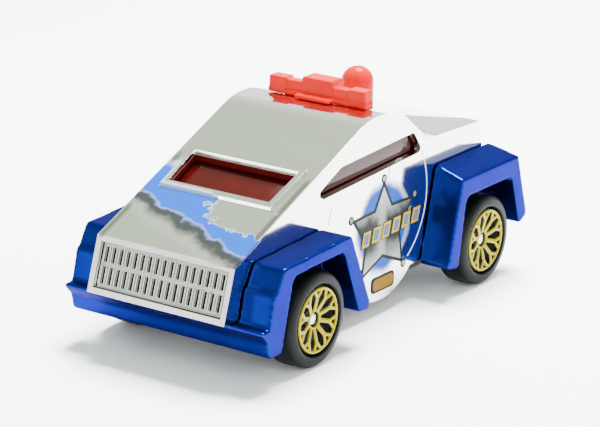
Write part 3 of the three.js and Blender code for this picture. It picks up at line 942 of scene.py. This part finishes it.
@dataclass
class Lights:
    """Roof light bar, beacon and windows."""

    bar_voxel: float = 0.1
    bar_melting: int = 30
    dome_radius: float = 2.2
    dome_y: float = 12.4
    dome_top: float = 30.8
    dome_foot: float = 24.6
    crown_share: float = 0.95
    crown_steps: int = 13
    dome_segments: int = 48

    def build(self, finishes: Finishes) -> None:
        """Makes the three pieces."""
        bar = melted("roof_light_bar", "light_bar", finishes.lamp, self.bar_voxel, self.bar_melting)
        settle(bar, BODY)
        settle(self._beacon(finishes), BODY)
        settle(refined("window_glazing", "red_windows", 0.12, finishes.glass, 2), BODY)

    def _beacon(self, finishes: Finishes) -> Piece:
        """The bullet-shaped beacon.

        Its radius is R up to the crown, and then R times the cosine of the crown's angle. A tiny flat
        closes its tip.

        Args:
            finishes: the toy's finishes.

        Returns:
            The beacon.
        """
        crown = self.dome_radius * self.crown_share
        angles = np.linspace(0, np.pi / 2, self.crown_steps + 1)[:-1]
        rise = self.dome_top - crown + crown * np.sin(angles)
        heights = np.array([self.dome_foot, *rise, self.dome_top - 0.001])[:, None]
        radius = np.array([self.dome_radius, *(self.dome_radius * np.cos(angles)), 0.02])[:, None]
        turns = np.arange(self.dome_segments) * 2 * np.pi / self.dome_segments
        height = np.repeat(heights, len(turns), axis=1)
        rings = np.stack([radius * np.cos(turns), self.dome_y + radius * np.sin(turns), height], -1)
        builder = Builder("beacon")
        builder.tube(rings)
        beacon = builder.finish([finishes.lamp])
        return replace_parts(beacon, "beacon_dome")


@dataclass
class Wheel:
    """One wheel: black moulding and dished lace face."""

    end: End
    side: Side
    tyre_rounding: float = 0.35
    spokes: int = 10
    spoke_width: float = 0.64
    fork_width: float = 0.5
    spoke_thickness: float = 0.38
    ring_radius: float = 4.17
    ring_x: float = 15.2
    hub_radius: float = 1.18
    hub_x: float = 14.62
    fork_radius: float = 2.95
    fork_reach: float = 4.1
    fork_turn: float = 0.19

    def build(self, finishes: Finishes) -> None:
        """Makes the wheel's two pieces."""
        name = f"{self.end.value}_{self.side.name.lower()}"
        axis = axis_of(f"{name}_tyre")
        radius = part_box(f"{name}_tyre")[1].z / MM - axis[1]
        tyre = self._tyre(f"{name}_wheel_moulding", axis, radius, finishes)
        settle(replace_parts(tyre, f"{name}_tyre"), f"{name}_wheel")
        lace = self._lace(f"{name}_lace_face", axis, finishes)
        settle(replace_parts(lace, f"{name}_rim"), f"{name}_wheel")

    def _tyre(self, name: str, axis: Span, radius: float, finishes: Finishes) -> Piece:
        """The black moulding, a rounded section of (radius, x) corners turned about the axle.

        Args:
            name: the piece's name.
            axis: the axle's y and z.
            radius: the wheel's outer radius.
            finishes: the toy's finishes.

        Returns:
            The moulding.
        """
        inner = [[0.66, 11.9], [4.8, 11.9], [5.3, 11.16], [6.1, 11.16]]
        tread = [[radius, 11.5], [radius, 14.7]]
        outer = [[6.05, 15.22], [5.3, 15.42], [4.78, 15.44]]
        pocket = [[4.68, 14.6], [4.3, 14.3], [0.66, 14.2]]
        section = softened(np.array(inner + tread + outer + pocket), self.tyre_rounding)
        builder = Builder(name)
        builder.tube(turned(section, *axis, 96) * np.array([self.side.value, 1, 1]), loop=True)
        return builder.finish([finishes.wheel], 40)

    def _bar(self, start: Points, end: Points, width: float) -> Points:
        """A straight bar of oval section across the dished face.

        The dish moves a point inwards from the ring by the share of the way to the hub, raised to 1.5.

        Args:
            start: the bar's first point, (y, z) from the axle.
            end: its last point.
            width: its width.

        Returns:
            Rings of points.
        """
        t = np.linspace(0, 1, 9)[:, None]
        line = start + t * (end - start)
        radius = np.linalg.norm(line, axis=1)
        share = np.clip((self.ring_radius - radius) / (self.ring_radius - self.hub_radius), 0, 1)
        face = self.ring_x - (self.ring_x - self.hub_x) * share**1.5
        along = (end - start) / np.linalg.norm(end - start)
        across = np.array([-along[1], along[0]]) * width / 2
        angles = np.arange(8) * np.pi / 4 + np.pi / 8
        sideways = line[:, None, :] + np.cos(angles)[None, :, None] * across
        depth = face[:, None] + self.spoke_thickness / 2 * np.sin(angles)[None, :]
        return np.concatenate([depth[..., None], sideways], axis=-1)

    def _lace(self, name: str, axis: Span, finishes: Finishes) -> Piece:
        """Ring, hub ring and forked spokes.

        Args:
            name: the piece's name.
            axis: the axle's y and z.
            finishes: the toy's finishes.

        Returns:
            The lace face.
        """
        builder = Builder(name)
        place = np.array([0, *axis])
        flip = np.array([self.side.value, 1, 1])
        angles = np.arange(12) * 2 * np.pi / 12
        rings = ((self.ring_radius, self.ring_x + 0.02, 0.21), (self.hub_radius, self.hub_x, 0.2))
        for radius, x, half in rings:
            section = np.column_stack([radius + half * np.cos(angles), x + half * np.sin(angles)])
            builder.tube(turned(section, *axis, 72) * flip, loop=True)
        fork = ((self.fork_reach, -self.fork_turn), (self.fork_reach, self.fork_turn))
        joints = ((self.hub_radius, 0), (self.fork_radius, 0), *fork)
        bars = ((0, 1, self.spoke_width), (1, 2, self.fork_width), (1, 3, self.fork_width))
        for k in range(self.spokes):
            middle = (k + 0.5) * 2 * np.pi / self.spokes
            points = [
                radius * np.array([np.cos(middle + turn), np.sin(middle + turn)]) for radius, turn in joints
            ]
            for start, end, width in bars:
                builder.tube((self._bar(points[start], points[end], width) + place) * flip)
        return builder.finish([finishes.lace], 50)


@dataclass
class SidePrint:
    """The star badge and its plain blocks, as thin layers of ink on one side, with a painted highlight along
    the door's round edge.
    """

    side: Side
    centre: Span = (2.9, 11.85)
    top_tip: Span = (7.1, np.pi / 2)
    upper_notch: Span = (4.0, np.radians(57))
    arm_tip: Span = (8.2, np.radians(23))
    lower_notch: Span = (4.4, np.radians(-13))
    leg_tip: Span = (7.8, np.radians(-48))
    foot_notch: Span = (3.7, -np.pi / 2)
    star_inset: float = 0.46
    ball_radius: float = 0.62
    ball_gap: float = 0.15
    ball_share: float = 0.58
    # The painted highlight along the raised door panel's round edge.
    door_centre: Span = (3.3, 15.2)
    door_radius: float = 10.4
    door_turns: Span = (np.radians(33), np.radians(-55))
    short_lines: tuple = (((4.27, 20.4), (3.76, 18.9)), ((-9.48, 18.11), (-10.19, 15.86)))
    line_width: float = 0.1
    door_highlight_width: float = 0.12
    block_count: int = 6
    block_start: Span = (-1.2, 11.65)
    block_step: Span = (2.42, 0.1)
    marker_centre: Span = (3.2, 4.55)
    shell_x: float = 10.8
    layer: float = 0.03

    def build(self, finishes: Finishes) -> None:
        """Makes the print."""
        builder = Builder(f"{self.side.name.lower()}_star_print")
        self._star(builder, 0.0, 1, 0)
        self._star(builder, self.star_inset, 0, 1)
        for radius, angle in (self.top_tip, self.arm_tip, self.leg_tip):
            for turn in {angle, np.pi - angle}:
                away = (radius + self.ball_gap) * np.array([np.cos(turn), np.sin(turn)])
                spot = np.array(self.centre) + away
                self._layer(builder, self._disc(spot, self.ball_radius), 1, 0)
                self._layer(builder, self._disc(spot, self.ball_radius * self.ball_share), 0, 1)
        self._lines(builder)
        self._blocks(builder)
        self._marker(builder)
        inks = [finishes.silver_ink, finishes.dark_ink, finishes.gold_ink, finishes.blue_ink]
        # The last ink is the pale band of the painted door highlight.
        inks += [finishes.amber_ink, finishes.pale_line]
        settle(builder.finish(inks), BODY)

    def _layer(self, builder: Builder, outline: Points, ink: int, level: int) -> None:
        """Adds an outline of ink at a level above the shell's side, with its foot just in the shell."""
        foot = (self.shell_x - 0.01) * self.side.value
        top = (self.shell_x + self.layer * (level + 1)) * self.side.value
        builder.slab(outline, foot, top, ink)

    def _disc(self, spot: Points, radius: float) -> Points:
        """A round outline about a spot."""
        angles = np.arange(28) * 2 * np.pi / 28
        return spot + radius * np.column_stack([np.cos(angles), np.sin(angles)])

    def _star(self, builder: Builder, inset: float, ink: int, level: int) -> None:
        """Adds the five-pointed star, made smaller by an inset.

        Its corners alternate between tips and notches from the top one round, and mirror about its middle.

        Args:
            builder: the print under construction.
            inset: how far its edges move in.
            ink: the number of its ink.
            level: its layer.
        """
        arm = [self.upper_notch, self.arm_tip, self.lower_notch]
        right = np.array([self.top_tip, *arm, self.leg_tip, self.foot_notch])
        left = right[4:0:-1] * np.array([1, -1]) + np.array([0, np.pi])
        corners = np.concatenate([right, left])
        is_tip = np.arange(10) % 2 == 0
        radius = corners[:, 0] - np.where(is_tip, 2.2, 1.0) * inset
        points = radius[:, None] * np.column_stack([np.cos(corners[:, 1]), np.sin(corners[:, 1])])
        self._layer(builder, np.array(self.centre) + points, ink, level)

    def _lines(self, builder: Builder) -> None:
        """Adds a painted highlight along the door's round edge and the two short door lines, as narrow bands.

        The round line keeps its radius about its centre.

        Args:
            builder: the print under construction.
        """
        angles = np.linspace(*self.door_turns, 40)
        unit = np.column_stack([np.cos(angles), np.sin(angles)])
        half = self.door_highlight_width / 2
        band = np.concatenate([unit * (self.door_radius - half), unit[::-1] * (self.door_radius + half)])
        # A painted highlight along the door's round edge.
        self._layer(builder, band + np.array(self.door_centre), 5, 0)
        width = np.array([self.line_width / 2, 0.0])
        for line in self.short_lines:
            top, foot = np.array(line)
            self._layer(builder, np.array([top - width, foot - width, foot + width, top + width]), 1, 0)

    def _blocks(self, builder: Builder) -> None:
        """Adds a row of plain slanted gold-edged blocks across the star."""
        slant = np.array([[-1.3, -1], [0.7, -1], [1.3, 1], [-0.7, 1]])
        for k in range(self.block_count):
            spot = np.array(self.block_start) + k * np.array(self.block_step)
            for half, ink, level in (((0.98, 1.14), 1, 2), ((0.86, 1.02), 2, 3), ((0.54, 0.7), 3, 4)):
                self._layer(builder, slant * np.array(half) + spot, ink, level)

    def _marker(self, builder: Builder) -> None:
        """Adds a plain rounded amber marker near the skirt's lower edge."""
        square = np.array([[-1, -1], [1, -1], [1, 1], [-1, 1]])
        for half, ink, level in (((2.75, 1.1), 1, 2), ((2.45, 0.8), 4, 3)):
            corners = square * np.array(half) + np.array(self.marker_centre)
            self._layer(builder, softened(corners, 0.7), ink, level)


@dataclass
class Underside:
    """Base plate, rivets, axles and the interior, which keep their CAD shapes or get finer edges."""

    def build(self, finishes: Finishes) -> None:
        """Makes or dresses each piece."""
        settle(refined("base_plate", "black_base_plate", 0.2, finishes.base), BODY)
        settle(refined("interior_tray", "interior", 0.3, finishes.interior), BODY)
        for end in End:
            node = bpy.data.objects[f"{end.value}_rivet"]
            node.data.materials.clear()
            node.data.materials.append(finishes.steel)
            LOG.info("%s: CAD node dressed", node.name)
            self._axle(end, finishes)

    def _axle(self, end: End, finishes: Finishes) -> None:
        """Makes an axle wire with small upset ends that sit inside the hubs.

        Args:
            end: which axle.
            finishes: the toy's finishes.
        """
        tip = np.array([[0.55, 14.24], [0.72, 14.30], [0.72, 14.46], [0.55, 14.55], [0.02, 14.57]])
        profile = np.concatenate([tip[::-1] * np.array([1, -1]), tip])
        builder = Builder(f"{end.value}_axle_wire")
        builder.tube(turned(profile, *axis_of(f"{end.value}_axle"), 40))
        wire = builder.finish([finishes.steel], 40)
        settle(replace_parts(wire, f"{end.value}_axle"), f"{end.value}_axle_body")


# ---- studio ---------------------------------------------------------------
@dataclass
class Studio:
    """Pale floor, soft light and the camera."""

    lens: float = 165.56
    position: tuple = (198.254, -291.601, 125.019)
    right: tuple = (0.82266, 0.56822, 0.01890)
    up: tuple = (-0.18713, 0.23924, 0.95276)
    forward: tuple = (-0.53686, 0.78733, -0.30315)
    low_sky: Colour = colour(0.98, 1.0, 1.0)
    high_sky: Colour = colour(0.48, 0.55, 0.43)
    sky_span: Span = (0.42, 0.72)
    sky_strength: float = 2.1
    floor_half: float = 3.0
    floor_tint: Colour = colour(0.93, 0.96, 0.97)

    def build(self) -> None:
        """Makes the studio."""
        self._camera()
        self._floor()
        self._world()
        self._softbox("key_light", (-30, 130, 380), 200, 14.0)
        self._softbox("front_lamp", (-330, -500, 60), 40, 0.12)
        self._softbox("fill_light", (260, -140, 200), 240, 0.5)

    def _camera(self) -> None:
        """Makes the scene's camera from its place and axes."""
        data = bpy.data.cameras.new("camera")
        data.lens = self.lens
        data.sensor_width = 36.0
        data.clip_start = 0.01
        camera = bpy.data.objects.new("camera", data)
        axes = Matrix([self.right, self.up, [-part for part in self.forward]]).transposed()
        camera.matrix_world = Matrix.Translation(Vector(self.position) * MM) @ axes.to_4x4()
        bpy.context.scene.collection.objects.link(camera)
        bpy.context.scene.camera = camera

    def _floor(self) -> None:
        """Makes the floor, a large flat sheet under the toy."""
        half = self.floor_half
        mesh = bpy.data.meshes.new("floor")
        corners = [(-half, -half, 0), (half, -half, 0), (half, half, 0), (-half, half, 0)]
        mesh.from_pydata(corners, [], [(0, 1, 2, 3)])
        mesh.materials.append(Moulded("pale_floor", self.floor_tint, 0.6, mottling=0.01, shine=0.2).build())
        floor = bpy.data.objects.new("floor", mesh)
        bpy.context.scene.collection.objects.link(floor)

    def _world(self) -> None:
        """Sets a pale surround that is brighter near the horizon than overhead."""
        world = bpy.data.worlds.new("studio")
        world.use_nodes = True
        sky = Nodes(world.node_tree)
        direction = sky.node("ShaderNodeTexCoord", {}, {}).outputs["Generated"]
        split = sky.node("ShaderNodeSeparateXYZ", {}, {0: Sock(sky, direction)})
        stops = tuple(zip(self.sky_span, (self.low_sky, self.high_sky)))
        ramp = sky.node("ShaderNodeValToRGB", {"stops": stops}, {0: Sock(sky, split.outputs[2])})
        background = sky.nodes["Background"]
        sky.plug(background.inputs["Color"], Sock(sky, ramp.outputs[0]))
        sky.plug(background.inputs["Strength"], self.sky_strength)
        bpy.context.scene.world = world

    def _softbox(self, name: str, place: tuple, size: float, power: float) -> None:
        """Adds a square area light that faces the toy.

        Args:
            name: the light's name.
            place: where it stands, in millimetres.
            size: its side, in millimetres.
            power: its power in watts.
        """
        data = bpy.data.lights.new(name, "AREA")
        data.size = size * MM
        data.energy = power
        light = bpy.data.objects.new(name, data)
        light.location = Vector(place) * MM
        light.rotation_euler = (Vector(place) * -1).to_track_quat("-Z", "Y").to_euler()
        bpy.context.scene.collection.objects.link(light)


def main() -> None:
    """Builds the toy and its studio."""
    logging.basicConfig(level=logging.INFO)
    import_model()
    Studio().build()
    finishes = Finishes.make()
    Shell().build(finishes)
    Casting().build(finishes)
    Lights().build(finishes)
    for end in End:
        for side in Side:
            Wheel(end, side).build(finishes)
    for side in Side:
        SidePrint(side).build(finishes)
    Underside().build(finishes)


if __name__ == "__main__":
    main()
